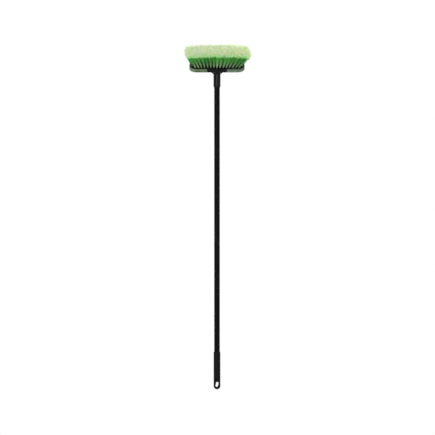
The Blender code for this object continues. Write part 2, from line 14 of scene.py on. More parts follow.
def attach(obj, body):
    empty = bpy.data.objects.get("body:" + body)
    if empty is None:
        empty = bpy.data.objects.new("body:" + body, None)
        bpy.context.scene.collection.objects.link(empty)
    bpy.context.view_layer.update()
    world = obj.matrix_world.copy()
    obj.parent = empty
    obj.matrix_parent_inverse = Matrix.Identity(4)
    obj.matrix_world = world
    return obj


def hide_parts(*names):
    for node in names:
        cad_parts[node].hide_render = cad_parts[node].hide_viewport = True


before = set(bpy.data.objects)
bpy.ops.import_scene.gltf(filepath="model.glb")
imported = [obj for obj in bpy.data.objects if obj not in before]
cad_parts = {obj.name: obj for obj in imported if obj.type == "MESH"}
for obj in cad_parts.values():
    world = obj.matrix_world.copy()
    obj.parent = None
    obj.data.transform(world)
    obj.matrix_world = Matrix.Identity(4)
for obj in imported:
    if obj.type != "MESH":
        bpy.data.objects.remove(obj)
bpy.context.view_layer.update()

# The view and the lamps: each lamp's name, place, the point it faces, its width and its watts

VIEW_WIDTH = 1.6965
VIEW_CENTRE = Vector((0.002, 0.0, 0.5852))
VIEW_DISTANCE = 3.6
VIEW_END = 50.0
LAMPS = (
    ("key", Vector((-0.9, -1.9, 2.8)), Vector((0.0, 0.0, 1.1)), 1.0, 31.0),
    ("front", Vector((-0.3, -4.2, 1.3)), Vector((0.0, 0.0, 0.8)), 0.8, 60.0),
    ("back", Vector((0.3, 2.2, 2.2)), Vector((0.0, 0.0, 0.9)), 1.4, 14.0),
)
WORLD_SEEN = 1.0
WORLD_LIGHT = 0.52
FLOOR_GAP = 0.0015
FLOOR_RADIUS = 3.2
FLOOR_SIDES = 96
FLOOR_WHITE_SHARE = 0.4
FLOOR_FADE_FROM = FLOOR_RADIUS * 0.2
FLOOR_FADE_FULL = FLOOR_RADIUS * 0.95

# The pole and its grip

GRIP_SHOULDER = 0.006
GRIP_LIP = 0.0014
GRIP_CLEARANCE = 0.0003
TAB_THICKNESS = 0.015
TAB_TOP = 0.036
TAB_EDGE = 0.0016
EYE_WIDTH = 0.0092
EYE_LENGTH = 0.019
EYE_HEIGHT = 0.0195
EYE_RIM = 0.0012
EYE_SLANT = math.radians(12.0)

TUBE_WALL = 0.0011
TUBE_EDGE = TUBE_WALL * 0.4

# How finely turned shapes are stepped

ROUND_SIDES = 96
TUBE_LEVEL_SHARES = (0.002, 0.25, 0.5, 0.75, 0.998)
TUBE_INNER_STEPS = 3
TUBE_OUTER_STEPS = 4
DOME_STEPS = 22
TAB_STEPS = 30
BARREL_STEPS = 8
SHOULDER_STEPS = 10
LIP_STEPS = 5
MOUTH_STEPS = 4
EYE_RIM_STEPS = 6

# How the CAD shapes are eased

WELD_DISTANCE = 0.000004
FLAT_ANGLE = math.radians(0.6)
EDGE_ANGLE = math.radians(28.0)
EDGE_STEPS = 2
SMOOTH_ANGLE = math.radians(42.0)
PLUG_EDGE = 0.0002
SCREW_EDGE = 0.0002
WASHER_EDGE = 0.0003
SADDLE_EDGE = 0.0005
BLOCK_EDGE = 0.0008
BUMPER_EDGE = 0.0014

# The head's own axes: x along the head, y across it, z out of the bristle face

HEAD_TILT = math.radians(26.0)
FACE_CENTRE = Vector((0.0, -0.008, 1.1798))
HEAD_AXES = Matrix.Translation(FACE_CENTRE) @ Matrix.Rotation(HEAD_TILT, 4, "X")

# The bumper's bands: its groove's height on the head, heights from that groove, and places along
# the head

BUMPER_GROOVE = -0.0082
BAND_BLEND = 0.002
GROOVE_FLOOR = 0.0002
GROOVE_MOUTH = 0.0007
# Painted shade along the bumper's top edge under the bristles: the heights where it starts and where it
# is full, how much lower it reaches on the right and how far it wanders
PAINTED_SHADE_FOOT = 0.0048
PAINTED_SHADE_TOP = 0.0066
PAINTED_SHADE_RIGHT_DROP = 0.0028
PAINTED_SHADE_WANDER = 0.002
MIDDLE_BLEND = 0.02
PALE_END_WANDER = 0.03
OLIVE_UP_TO = -0.06
GREEN_FROM = 0.02
PALE_END_FROM = 0.078
PALE_END_FULL = 0.1

# The bristles: each row's depth across the head, its number of tufts, its last tuft's place, the
# share of its length at which its filaments have turned pale and how dark its roots are painted, as
# painted shade

FRONT_PALE_SHARE = 0.974
INNER_PALE_SHARE = 1.08
# How dark the inner rows' roots are painted: a painted shade from the rows around them
INNER_ROOT_SHADE = 0.65
ROWS = (
    (-0.025, 15, 0.08288, FRONT_PALE_SHARE, 0.0),
    (-0.0125, 16, 0.09644, INNER_PALE_SHARE, INNER_ROOT_SHADE),
    (0.0, 17, 0.0983, INNER_PALE_SHARE, INNER_ROOT_SHADE),
    (0.0125, 16, 0.09644, INNER_PALE_SHARE, INNER_ROOT_SHADE),
    (0.025, 15, 0.08288, INNER_PALE_SHARE, 0.0),
)
HOLE_RADIUS = 0.0021
TRIM_HEIGHT = 0.0632
CROWN_DROP = 0.0075
TIP_HALF_LENGTH = 0.128
TIP_HALF_DEPTH = 0.053
TIP_CORNER = 0.026
SPREAD_ALONG = 0.0084
SPREAD_ACROSS = 0.0112
LEAN = 0.003
SKEW = -0.09
FILAMENT_RADIUS = 0.0002
SPLIT_SHARE = 0.885
SPLIT_ENDS = 14
SPLIT_SPREAD = 0.0036
SPLIT_OVERLAP_SHARE = 0.02
TUFT_SCATTER = 0.0011
TUFT_RISE = 0.0007
ROOT_DEPTH = 0.001
TIP_SCATTER_ALONG = 0.0012
TIP_SCATTER_ACROSS = 0.0016
TRIM_SCATTER = 0.005
BEND_SCATTER = 0.0011
TURN_SCATTER = 0.5
SQUARENESS = 0.62
CLUMP_GRAIN = 0.009
CLUMP_PULL = 0.01
CLUMP_PULL_SHARES = (1.0, 1.0, 0.4)
TONE_GRAIN = 0.0055
TONE_FROM = 0.36
TONE_FULL = 0.64
TONE_CLUMP_SHARE = 0.6
WAIST = 0.13
FILAMENTS = 68
FIBRE_SIDES = 3
KNEE_WIDTH_SHARE = 0.9
SPLIT_WIDTH_SHARE = 0.8
TIP_WIDTH_SHARE = 0.45
SPLIT_RISE_SHARE = 0.45
SHAFT_STEPS = 6
SPLIT_STEPS = 2
GOLDEN_TURN = 2.399963
FIRST_SEED = 17
SEED_STEP = 100
STRIP_DEPTH = 0.005
STRIP_EASE = 0.0003
STRIP_EASE_KNEE = STRIP_EASE * 0.3
STRIP_FACE_BELOW = STRIP_DEPTH * 0.5
STRIP_FACE_ABOVE = STRIP_DEPTH * 0.02
COLLAR_HEIGHT = 0.0005
COLLAR_STAND_OFF = 1.2
COLLAR_SIDES = 16
COLLAR_LIP_SIDES = 6


def srgb(red, green, blue):
    """A colour picked off a display, as the light it stands for."""

    def linear(level):
        share = level / 255.0
        return share / 12.92 if share <= 0.04045 else ((share + 0.055) / 1.055) ** 2.4

    return (linear(red), linear(green), linear(blue), 1.0)


class Wire:
    """One node socket: sums, products and powers of it add the Math nodes they need."""

    def __init__(self, net, socket):
        self.net = net
        self.socket = socket

    def out(self, which):
        """Another output of the same node."""
        return Wire(self.net, self.socket.node.outputs[which])

    def maths(self, operation, *parts, out=0):
        vectors = any(
            isinstance(p, tuple) or (isinstance(p, Wire) and p.socket.type == "VECTOR")
            for p in parts
        )
        kind = "ShaderNodeVectorMath" if vectors else "ShaderNodeMath"
        return self.net.node(kind, {"operation": operation}, dict(enumerate(parts)), out)

    def __add__(self, other):
        return self.maths("ADD", self, other)

    def __sub__(self, other):
        return self.maths("SUBTRACT", self, other)

    def __rsub__(self, other):
        return self.maths("SUBTRACT", other, self)

    def __mul__(self, other):
        return self.maths("MULTIPLY", self, other)

    def __truediv__(self, other):
        return self.maths("DIVIDE", self, other)

    def __rtruediv__(self, other):
        return self.maths("DIVIDE", other, self)

    def __pow__(self, other):
        return self.maths("POWER", self, other)

    def __neg__(self):
        return self.maths("MULTIPLY", self, -1.0)

    def __abs__(self):
        return self.maths("ABSOLUTE", self)


class Net:
    """A node tree being wired, for a finish or for a rule that makes geometry."""

    def __init__(self, tree):
        self.tree = tree

    def node(self, kind, settings=None, inputs=None, out=0):
        """Adds one node: its settings first, then the values or wires of its sockets."""
        made = self.tree.nodes.new(kind)
        for name, value in (settings or {}).items():
            if name == "stops":
                self.set_stops(made.color_ramp, value)
            elif name == "ramp":
                made.color_ramp.interpolation = value
            else:
                setattr(made, name, value)
        for name, value in (inputs or {}).items():
            socket = made.inputs[name]
            if isinstance(value, Wire):
                self.tree.links.new(value.socket, socket)
            elif socket.type == "VECTOR" and not hasattr(value, "__len__"):
                socket.default_value = (value, value, value)
            else:
                socket.default_value = value
        return Wire(self, made.outputs[out]) if len(made.outputs) else made

    def set_stops(self, ramp, stops):
        while len(ramp.elements) > 1:
            ramp.elements.remove(ramp.elements[-1])
        for place, (where, colour) in enumerate(stops):
            stop = ramp.elements[0] if place == 0 else ramp.elements.new(where)
            stop.position = where
            stop.color = colour

    def vector(self, x=0.0, y=0.0, z=0.0):
        return self.node("ShaderNodeCombineXYZ", {}, {"X": x, "Y": y, "Z": z})

    def split(self, vector):
        whole = self.node("ShaderNodeSeparateXYZ", {}, {0: vector})
        return whole, whole.out(1), whole.out(2)


# Finishes


class Finish(Net):
    """One material with a Principled surface; patterns are read in the object's own coordinates."""

    def __init__(self, name, **constants):
        self.material = bpy.data.materials.new(name)
        self.material.use_nodes = True
        super().__init__(self.material.node_tree)
        self.tree.nodes.clear()
        self.surface = self.tree.nodes.new("ShaderNodeBsdfPrincipled")
        output = self.tree.nodes.new("ShaderNodeOutputMaterial")
        self.tree.links.new(self.surface.outputs[0], output.inputs["Surface"])
        for socket, value in constants.items():
            self.surface.inputs[socket.replace("_", " ")].default_value = value
        self.place = self.node("ShaderNodeTexCoord", {}, {}, "Object")

    def feed(self, **wires):
        for socket, wire in wires.items():
            self.tree.links.new(wire.socket, self.surface.inputs[socket.replace("_", " ")])

    def noise(self, grain, detail=3.0, roughness=0.55, place=None):
        """Noise whose blotches are about grain metres across."""
        return self.node(
            "ShaderNodeTexNoise",
            {},
            {
                "Vector": place or self.place,
                "Scale": 1.0 / grain,
                "Detail": detail,
                "Roughness": roughness,
            },
        )

    def stretched(self, x=1.0, y=1.0, z=1.0):
        """The object's coordinates with each axis scaled, to draw a pattern out."""
        return self.node("ShaderNodeMapping", {}, {"Vector": self.place, "Scale": (x, y, z)})

    def turned(self, axes):
        """The object's coordinates turned into other axes."""
        place, turn, _ = axes.decompose()
        return self.node(
            "ShaderNodeMapping",
            {},
            {"Vector": self.place, "Location": place, "Rotation": turn.to_euler()},
        )

    def step(self, value, low, high):
        """0 below low, 1 above high, and eased in between."""
        return self.node(
            "ShaderNodeMapRange",
            {"interpolation_type": "SMOOTHSTEP"},
            {"Value": value, "From Min": low, "From Max": high},
        )

    def span(self, value, low, high):
        """A 0 to 1 value stretched to run from low to high."""
        return self.node(
            "ShaderNodeMapRange", {}, {"Value": value, "To Min": low, "To Max": high}
        )

    def mix(self, mask, colour, other):
        return self.node(
            "ShaderNodeMix",
            {"data_type": "RGBA"},
            {0: mask, 6: colour, 7: other},
            2,
        )

    def bump(self, height, depth, strength=1.0, under=None):
        """A Bump node whose full height is depth metres."""
        inputs = {"Height": height, "Distance": depth, "Strength": strength}
        if under is not None:
            inputs["Normal"] = under
        return self.node("ShaderNodeBump", {}, inputs)


def moulded_black(name, colour, worn, low_rough, high_rough, level, grain_depth):
    """Black injection-moulded plastic: spark grain, cloudy gloss, dull scuffs and fine scratches."""
    finish = Finish(name, Specular_IOR_Level=level)
    cloud = finish.noise(grain=0.021, detail=4.0)
    spark = finish.noise(grain=0.0008, detail=2.0, roughness=0.6)
    drawn_down = finish.stretched(z=0.35)
    drawn_across = finish.stretched(x=0.06)
    scuff = finish.noise(grain=0.006, detail=5.0, roughness=0.68, place=drawn_down)
    scuff = finish.step(scuff, low=0.55, high=0.7)
    scratch = finish.noise(grain=0.0007, detail=3.0, roughness=0.7, place=drawn_across)
    scratch = finish.step(scratch, low=0.64, high=0.7)
    speckled = finish.mix(finish.step(spark, low=0.4, high=0.62) * 0.5 + cloud * 0.3, colour, worn)
    finish.feed(
        Base_Color=finish.mix(scuff * 0.4 + scratch * 0.4, speckled, srgb(46, 46, 45)),
        Roughness=finish.span(cloud, low_rough, high_rough) + scuff * 0.15,
        Normal=finish.bump(spark + cloud * 3.0 - scratch * 0.5, depth=grain_depth),
    )
    return finish.material


def pole_coat():
    """Satin black coat on a drawn steel tube: orange peel, long faint rubs and dust in them."""
    finish = Finish("satin_coat", Specular_IOR_Level=0.045)
    peel = finish.noise(grain=0.0016, detail=2.0, roughness=0.4)
    rubs = finish.noise(
        grain=0.0011, detail=4.0, roughness=0.7, place=finish.stretched(z=0.035)
    )
    hands = finish.noise(grain=0.085, detail=3.0, roughness=0.5, place=finish.stretched(z=0.6))
    dust = finish.step(rubs * 0.65 + hands * 0.35, low=0.52, high=0.62)
    chips = finish.step(finish.noise(grain=0.0022, detail=3.0, roughness=0.6), low=0.74, high=0.78)
    coat = finish.mix(dust * 0.45 + peel * 0.06, srgb(4, 4, 4), srgb(42, 42, 41))
    pitted = finish.bump(rubs - chips, depth=0.00002)
    finish.feed(
        Base_Color=finish.mix(chips * 0.5, coat, srgb(60, 60, 58)),
        Roughness=finish.span(hands, 0.34, 0.5) + dust * 0.14,
        Normal=finish.bump(peel, depth=0.00005, strength=0.8, under=pitted),
    )
    return finish.material


def grip_rubber():
    """Soft black grip: dry pebbled skin, its high spots painted paler as a painted highlight, polished
    where a hand holds it.
    """
    finish = Finish("grip_rubber", Specular_IOR_Level=0.06)
    pebble = finish.node(
        "ShaderNodeTexVoronoi",
        {"feature": "SMOOTH_F1"},
        {"Vector": finish.place, "Scale": 900.0},
    )
    skin = finish.noise(grain=0.013, detail=4.0)
    polish = finish.noise(grain=0.045, detail=2.0, roughness=0.5, place=finish.stretched(z=0.4))
    polish = finish.step(polish, low=0.4, high=0.66)
    dust = finish.step(finish.noise(grain=0.004, detail=5.0, roughness=0.7), low=0.54, high=0.68)
    high_spots = 1.0 - finish.step(pebble, low=0.12, high=0.5)
    worn = finish.mix(polish * 0.4 + skin * 0.2, srgb(21, 21, 20), srgb(9, 9, 9))
    uneven = finish.bump(skin, depth=0.0002)
    finish.feed(
        # The pale colour is a painted highlight on the pebbles' high spots, and also the dust
        Base_Color=finish.mix(high_spots * 0.3 + dust * 0.22, worn, srgb(44, 44, 43)),
        Roughness=finish.span(skin, 0.62, 0.78) - polish * 0.16,
        Normal=finish.bump(high_spots, depth=0.00014, strength=0.8, under=uneven),
    )
    return finish.material


def bumper_vinyl():
    """Grey-green soft bumper, chalky and rubbed: its upper band painted lighter as a painted highlight,
    its groove painted dark as painted shade, and painted shade along its top edge under the bristles.
    """
    finish = Finish("bumper_vinyl", Specular_IOR_Level=0.25)
    chalk = finish.noise(grain=0.009, detail=5.0, roughness=0.62)
    fine = finish.noise(grain=0.0006, detail=2.0)
    along = finish.split(finish.place)[0]
    height = finish.split(finish.turned(HEAD_AXES.inverted()))[2] - BUMPER_GROOVE
    upper = finish.step(height, -BAND_BLEND, BAND_BLEND)
    # The groove is bumped in and also painted dark, a painted shade in the recess
    groove = 1.0 - finish.step(abs(height), GROOVE_FLOOR, GROOVE_MOUTH)
    end = finish.step(abs(along) + (chalk - 0.5) * PALE_END_WANDER, PALE_END_FROM, PALE_END_FULL)
    rubbed = finish.noise(grain=0.016, detail=4.0, roughness=0.6, place=finish.stretched(z=0.5))
    rubbed = finish.step(rubbed, low=0.5, high=0.7)
    # The upper band is painted lighter than the lower: a painted highlight along the top of the rounded
    # strip, with painted shade below it
    olive = finish.mix(upper, srgb(54, 74, 24), srgb(80, 106, 56))
    green = finish.mix(upper, srgb(90, 111, 90), srgb(104, 127, 105))
    base = finish.mix(finish.step(along, OLIVE_UP_TO, GREEN_FROM), olive, green)
    base = finish.mix(end * 0.6, base, srgb(128, 150, 124))
    worn = finish.mix(rubbed * 0.4 + chalk * 0.16, base, srgb(132, 146, 128))
    # Painted shade under the bristles along the bumper's top edge, reaching lower on the right
    right = finish.step(along, -MIDDLE_BLEND, MIDDLE_BLEND)
    raised = height + right * PAINTED_SHADE_RIGHT_DROP + (chalk - 0.5) * PAINTED_SHADE_WANDER
    painted_top_shade = finish.step(raised, PAINTED_SHADE_FOOT, PAINTED_SHADE_TOP) * 0.75
    chalky = finish.bump(fine + chalk, depth=0.00006)
    # The dark colour is painted shade, in the groove and along the top edge
    finish.feed(
        Base_Color=finish.mix(groove * 0.5 + painted_top_shade, worn, srgb(30, 40, 28)),
        Roughness=finish.span(chalk, 0.42, 0.62),
        Normal=finish.bump(1.0 - groove, depth=0.0005, under=chalky),
    )
    return finish.material


def bright_steel():
    """Plated screw steel, a little tarnished."""
    finish = Finish("screw_steel", Metallic=1.0)
    tarnish = finish.noise(grain=0.0012, detail=4.0, roughness=0.6)
    finish.feed(
        Base_Color=finish.mix(tarnish, srgb(176, 178, 176), srgb(124, 120, 110)),
        Roughness=finish.span(tarnish, 0.24, 0.5),
        Normal=finish.bump(tarnish, depth=0.00002),
    )
    return finish.material


def bristle_fibre():
    """Green filament with pale split ends.

    Its attributes: rise runs from the hole to the tip, tone is the filament's own, and shade says how
    dark the roots of its row are painted, a painted shade on the inner rows.
    """
    finish = Finish("bristle_fibre", Specular_IOR_Level=0.3)
    rise, tone, shade = (
        finish.node("ShaderNodeAttribute", {"attribute_name": name}, {}, "Fac")
        for name in ("rise", "tone", "shade")
    )
    along = finish.split(finish.place)[0]
    yellowing = finish.noise(grain=0.026, detail=3.0, roughness=0.6) + along * 0.9
    ragged = rise + (tone - 0.5) * 0.05
    # The shaft's colour up its length: the first stop is painted shade where the filament enters the
    # block, and the pale stops low on the shaft are a painted sheen of light on the tightly packed roots
    shaft = finish.node(
        "ShaderNodeValToRGB",
        {
            "ramp": "LINEAR",
            "stops": (
                (0.0, srgb(26, 58, 28)),
                (0.08, srgb(180, 212, 166)),
                (0.34, srgb(158, 204, 142)),
                (0.5, srgb(106, 208, 92)),
                (0.84, srgb(88, 206, 76)),
                (0.89, srgb(112, 226, 86)),
                (0.95, srgb(184, 250, 148)),
            ),
        },
        {"Fac": ragged},
    )
    # Painted shade on the lower part of the inner rows' filaments, darkest at the roots
    painted_root_shadow = shade * (1.0 - finish.step(rise, low=0.3, high=0.75))
    dark = finish.mix(finish.step(tone, low=0.1, high=0.66), srgb(44, 124, 38), shaft)
    dark = finish.mix(painted_root_shadow, dark, srgb(16, 30, 16))
    green = finish.mix(finish.step(rise, low=0.86, high=0.93), dark, shaft)
    mint, cream = srgb(248, 255, 234), srgb(252, 255, 214)
    mint_or_cream = finish.mix(finish.step(yellowing, low=0.36, high=0.7), mint, cream)
    pale = finish.mix(finish.step(tone, low=0.5, high=1.0) * 0.7, mint_or_cream, srgb(255, 255, 246))
    # Tips darker where the tone is low: partly the filaments' own random tone, partly painted shade
    # between clumps, since tone follows the clump noise
    mottled = finish.mix(finish.step(tone, low=0.1, high=0.55), srgb(208, 243, 169), pale)
    # Blotches of painted shade between clumps of split ends
    painted_clump_shadow = finish.step(finish.noise(grain=0.0105, detail=3.0, roughness=0.6), low=0.5, high=0.66)
    mottled = finish.mix(painted_clump_shadow * 0.36, mottled, srgb(190, 208, 146))
    finish.feed(
        Base_Color=finish.mix(finish.step(ragged, low=0.92, high=0.972), green, mottled),
        Roughness=finish.span(tone, 0.42, 0.62),
    )
    return finish.material


# Geometry rules


def spread_fibres(net, points, low, high, steps, thick, thin):
    """A tapered three-sided fibre on every point, from its own start to its own end."""
    line = net.node("GeometryNodeCurvePrimitiveLine", {}, {"Start": (0, 0, 0), "End": (0, 0, 1)})
    line = net.node("GeometryNodeResampleCurve", {"mode": "COUNT"}, {"Curve": line, "Count": steps})
    laid = net.node("GeometryNodeInstanceOnPoints", {}, {"Points": points, "Instance": line})
    laid = net.node("GeometryNodeRealizeInstances", {}, {"Geometry": laid})
    along = net.node("GeometryNodeSplineParameter")
    start, end, bend = (kept(net, name) for name in ("start", "end", "bend"))
    bow = along * (1.0 - along) * 4.0
    laid = net.node(
        "GeometryNodeSetPosition",
        {},
        {"Geometry": laid, "Position": start + (end - start) * along + bend * bow},
    )
    laid = keep(net, laid, "rise", along * (high - low) + low, "FLOAT")
    ring = net.node(
        "GeometryNodeCurvePrimitiveCircle",
        {"mode": "RADIUS"},
        {"Resolution": FIBRE_SIDES, "Radius": 1.0},
    )
    fibres = net.node(
        "GeometryNodeCurveToMesh",
        {},
        {
            "Curve": laid,
            "Profile Curve": ring,
            "Scale": thick + along * (thin - thick),
            "Fill Caps": True,
        },
    )
    return net.node("GeometryNodeSetShadeSmooth", {}, {"Geometry": fibres, "Shade Smooth": False})


def keep(net, geometry, name, value, kind="FLOAT_VECTOR"):
    """Writes a value on every point, under a name."""
    return net.node(
        "GeometryNodeStoreNamedAttribute",
        {"data_type": kind, "domain": "POINT"},
        {"Geometry": geometry, "Name": name, "Value": value},
    )


def kept(net, name, kind="FLOAT_VECTOR"):
    """Reads back a value that keep wrote."""
    return net.node("GeometryNodeInputNamedAttribute", {"data_type": kind}, {"Name": name})


def tuft_row_rule():
    """One row of the brush: tufts in a line, filaments in each hole, split ends on each filament."""
    tree = bpy.data.node_groups.new("tuft_row", "GeometryNodeTree")
    tree.interface.new_socket("Geometry", in_out="INPUT", socket_type="NodeSocketGeometry")
    sizes = {
        "Tufts": "Int",
        "Tuft Spacing": "Float",
        "Row Depth": "Float",
        "Filaments": "Int",
        "Hole Radius": "Float",
        "Trim Height": "Float",
        "Crown Drop": "Float",
        "Fan Along": "Float",
        "Fan Across": "Float",
        "Collar Height": "Float",
        "Spread Along": "Float",
        "Spread Across": "Float",
        "Lean": "Float",
        "Skew": "Float",
        "Half Length": "Float",
        "Filament Radius": "Float",
        "Split Share": "Float",
        "Split Ends": "Int",
        "Split Spread": "Float",
        "Tuft Scatter": "Float",
        "Tuft Rise": "Float",
        "Root Depth": "Float",
        "Tip Scatter Along": "Float",
        "Tip Scatter Across": "Float",
        "Trim Scatter": "Float",
        "Bend Scatter": "Float",
        "Pale Reach": "Float",
        "Clump Grain": "Float",
        "Clump Pull": "Float",
        "Tone Grain": "Float",
        "Waist": "Float",
        "Root Shade": "Float",
        "Seed": "Int",
    }
    for name, kind in sizes.items():
        tree.interface.new_socket(name, in_out="INPUT", socket_type="NodeSocket" + kind)
    for name in ("Fibre", "Strip"):
        tree.interface.new_socket(name, in_out="INPUT", socket_type="NodeSocketMaterial")
    tree.interface.new_socket("Geometry", in_out="OUTPUT", socket_type="NodeSocketGeometry")
    net = Net(tree)
    given = tree.nodes.new("NodeGroupInput")
    size = {name: Wire(net, given.outputs[name]) for name in [*sizes, "Fibre", "Strip"]}

    def chance(low, high, salt):
        """A random number for each point; every use has a salt of its own."""
        return net.node(
            "FunctionNodeRandomValue",
            {"data_type": "FLOAT"},
            {2: low, 3: high, "Seed": size["Seed"] + salt},
            1,
        )

    def scatter(reach_x, reach_y, reach_z, salt):
        """A random shift within these reaches; it uses up three salts."""
        return net.vector(
            chance(-1.0, 1.0, salt) * reach_x,
            chance(-1.0, 1.0, salt + 1) * reach_y,
            chance(-1.0, 1.0, salt + 2) * reach_z,
        )

    first = (size["Tufts"] - 1.0) * size["Tuft Spacing"] * -0.5
    line = net.node(
        "GeometryNodeMeshLine",
        {"mode": "OFFSET"},
        {
            "Count": size["Tufts"],
            "Start Location": net.vector(first, size["Row Depth"]),
            "Offset": net.vector(size["Tuft Spacing"]),
        },
    )
    holes = net.node("GeometryNodeMeshToPoints", {}, {"Mesh": line})
    tuft_shift = scatter(size["Tuft Scatter"], size["Tuft Scatter"], size["Tuft Rise"], 3)
    holes = keep(net, holes, "lean", tuft_shift)
    many = net.node(
        "GeometryNodeDuplicateElements",
        {"domain": "POINT"},
        {"Geometry": holes, "Amount": size["Filaments"]},
    )
    turn = many.out(1) * GOLDEN_TURN + chance(0.0, TURN_SCATTER, 11)
    reach = ((many.out(1) + 0.5) / size["Filaments"]) ** 0.5
    east = turn.maths("COSINE", turn)
    north = turn.maths("SINE", turn)
    square = turn.maths("MAXIMUM", abs(east), abs(north)) ** -SQUARENESS
    place = net.node("GeometryNodeInputPosition")
    place_x, place_y, _ = net.split(place)
    start = place + net.vector(east, north, 0.0) * reach * size["Hole Radius"]
    start = start - net.vector(0.0, 0.0, size["Root Depth"])
    spread_x = east * reach * square * size["Spread Along"]
    spread_y = north * reach * square * size["Spread Across"]
    end_x = (
        place_x * size["Fan Along"]
        + size["Lean"]
        + place_y * size["Skew"]
        + spread_x
        + chance(-size["Tip Scatter Along"], size["Tip Scatter Along"], 21)
    )
    jitter_y = chance(-size["Tip Scatter Across"], size["Tip Scatter Across"], 22)
    end_y = place_y * size["Fan Across"] + spread_y + jitter_y
    outward = abs(end_x - size["Lean"]) / size["Half Length"]
    short = chance(0.0, 1.0, 23) ** 3.0 * size["Trim Scatter"]
    end_z = size["Trim Height"] - size["Crown Drop"] * outward**3.0 - short
    end = net.vector(end_x, end_y, end_z) + kept(net, "lean")
    pull = net.node(
        "ShaderNodeTexNoise",
        {},
        {"Vector": end, "Scale": 1.0 / size["Clump Grain"], "Detail": 1.0},
        "Color",
    )
    end = end + (pull - (0.5, 0.5, 0.5)) * size["Clump Pull"] * CLUMP_PULL_SHARES
    grown = keep(net, many, "start", start)
    clump = net.node(
        "ShaderNodeTexNoise",
        {},
        {"Vector": end, "Scale": 1.0 / size["Tone Grain"], "Detail": 1.0},
    )
    clump = net.node(
        "ShaderNodeMapRange",
        {"interpolation_type": "SMOOTHSTEP"},
        {"Value": clump, "From Min": TONE_FROM, "From Max": TONE_FULL},
    )
    tone = chance(0.0, 1.0, 31) * (1.0 - TONE_CLUMP_SHARE) + clump * TONE_CLUMP_SHARE
    grown = keep(net, grown, "tone", tone, "FLOAT")
    # How dark this row's roots are painted, as painted shade
    grown = keep(net, grown, "shade", size["Root Shade"], "FLOAT")
    waist = net.vector(spread_x, spread_y, 0.0) * size["Waist"]
    bend = scatter(size["Bend Scatter"], size["Bend Scatter"], 0.0, 41)
    grown = keep(net, grown, "bend", bend - waist)
    grown = keep(net, grown, "tip", end)
    begun, tip = kept(net, "start"), kept(net, "tip")
    knee = begun + (tip - begun) * size["Split Share"]
    shafts = keep(net, grown, "end", knee)
    shafts = spread_fibres(
        net,
        shafts,
        0.0,
        size["Split Share"] * size["Pale Reach"],
        SHAFT_STEPS,
        size["Filament Radius"],
        size["Filament Radius"] * KNEE_WIDTH_SHARE,
    )
    split = net.node(
        "GeometryNodeDuplicateElements",
        {"domain": "POINT"},
        {"Geometry": grown, "Amount": size["Split Ends"]},
    )
    spread = size["Split Spread"]
    splay = scatter(spread, spread, spread * SPLIT_RISE_SHARE, 51)
    split = keep(net, split, "end", tip + splay)
    parting = size["Split Share"] - SPLIT_OVERLAP_SHARE
    split = keep(net, split, "start", begun + (tip - begun) * parting)
    ends = spread_fibres(
        net,
        split,
        parting * size["Pale Reach"],
        size["Pale Reach"],
        SPLIT_STEPS,
        size["Filament Radius"] * SPLIT_WIDTH_SHARE,
        size["Filament Radius"] * TIP_WIDTH_SHARE,
    )
    collar = net.node(
        "GeometryNodeCurvePrimitiveCircle",
        {"mode": "RADIUS"},
        {
            "Resolution": COLLAR_SIDES,
            "Radius": size["Hole Radius"] + size["Collar Height"] * COLLAR_STAND_OFF,
        },
    )
    lip = net.node(
        "GeometryNodeCurvePrimitiveCircle",
        {"mode": "RADIUS"},
        {"Resolution": COLLAR_LIP_SIDES, "Radius": 1.0},
    )
    collar = net.node(
        "GeometryNodeCurveToMesh",
        {},
        {"Curve": collar, "Profile Curve": lip, "Scale": size["Collar Height"]},
    )
    collars = net.node("GeometryNodeInstanceOnPoints", {}, {"Points": holes, "Instance": collar})
    collars = net.node("GeometryNodeRealizeInstances", {}, {"Geometry": collars})
    collars = net.node("GeometryNodeSetShadeSmooth", {}, {"Geometry": collars})
    collars = keep(net, collars, "collar", 1.0, "FLOAT")
    whole = tree.nodes.new("GeometryNodeJoinGeometry")
    for part in (collars, ends, shafts):
        tree.links.new(part.socket, whole.inputs[0])
    whole = net.node("GeometryNodeRealizeInstances", {}, {"Geometry": Wire(net, whole.outputs[0])})
    whole = net.node("GeometryNodeSetMaterial", {}, {"Geometry": whole, "Material": size["Fibre"]})
    is_collar = kept(net, "collar", "FLOAT")
    is_collar = is_collar.maths("GREATER_THAN", is_collar, 0.5)
    whole = net.node(
        "GeometryNodeSetMaterial",
        {},
        {"Geometry": whole, "Selection": is_collar, "Material": size["Strip"]},
    )
    result = tree.nodes.new("NodeGroupOutput")
    tree.links.new(whole.socket, result.inputs[0])
    return tree


def grow(name, rule, sizes):
    """Runs a geometry rule with these sizes and gives its result as a plain mesh object."""
    seedling = bpy.data.objects.new(name + "_rule", bpy.data.meshes.new(name + "_rule"))
    bpy.context.scene.collection.objects.link(seedling)
    modifier = seedling.modifiers.new("rule", "NODES")
    modifier.node_group = rule
    for item in rule.interface.items_tree:
        if item.in_out == "INPUT" and item.name in sizes:
            modifier[item.identifier] = sizes[item.name]
    bpy.context.view_layer.update()
    evaluated = seedling.evaluated_get(bpy.context.evaluated_depsgraph_get())
    mesh = bpy.data.meshes.new_from_object(evaluated)
    seedling.modifiers.clear()
    bpy.data.objects.remove(seedling)
    drop_empty_slots(mesh)
    mesh.name = name
    piece = bpy.data.objects.new(name, mesh)
    bpy.context.scene.collection.objects.link(piece)
    return piece


def drop_empty_slots(mesh):
    """Takes out material slots that hold nothing, and keeps each face on its own material."""
    filled = [slot for slot in mesh.materials if slot]
    moved = [filled.index(slot) if slot else 0 for slot in mesh.materials]
    places = [0] * len(mesh.polygons)
    mesh.polygons.foreach_get("material_index", places)
    mesh.materials.clear()
    for slot in filled:
        mesh.materials.append(slot)
    mesh.polygons.foreach_set("material_index", [moved[place] for place in places])


# Pieces


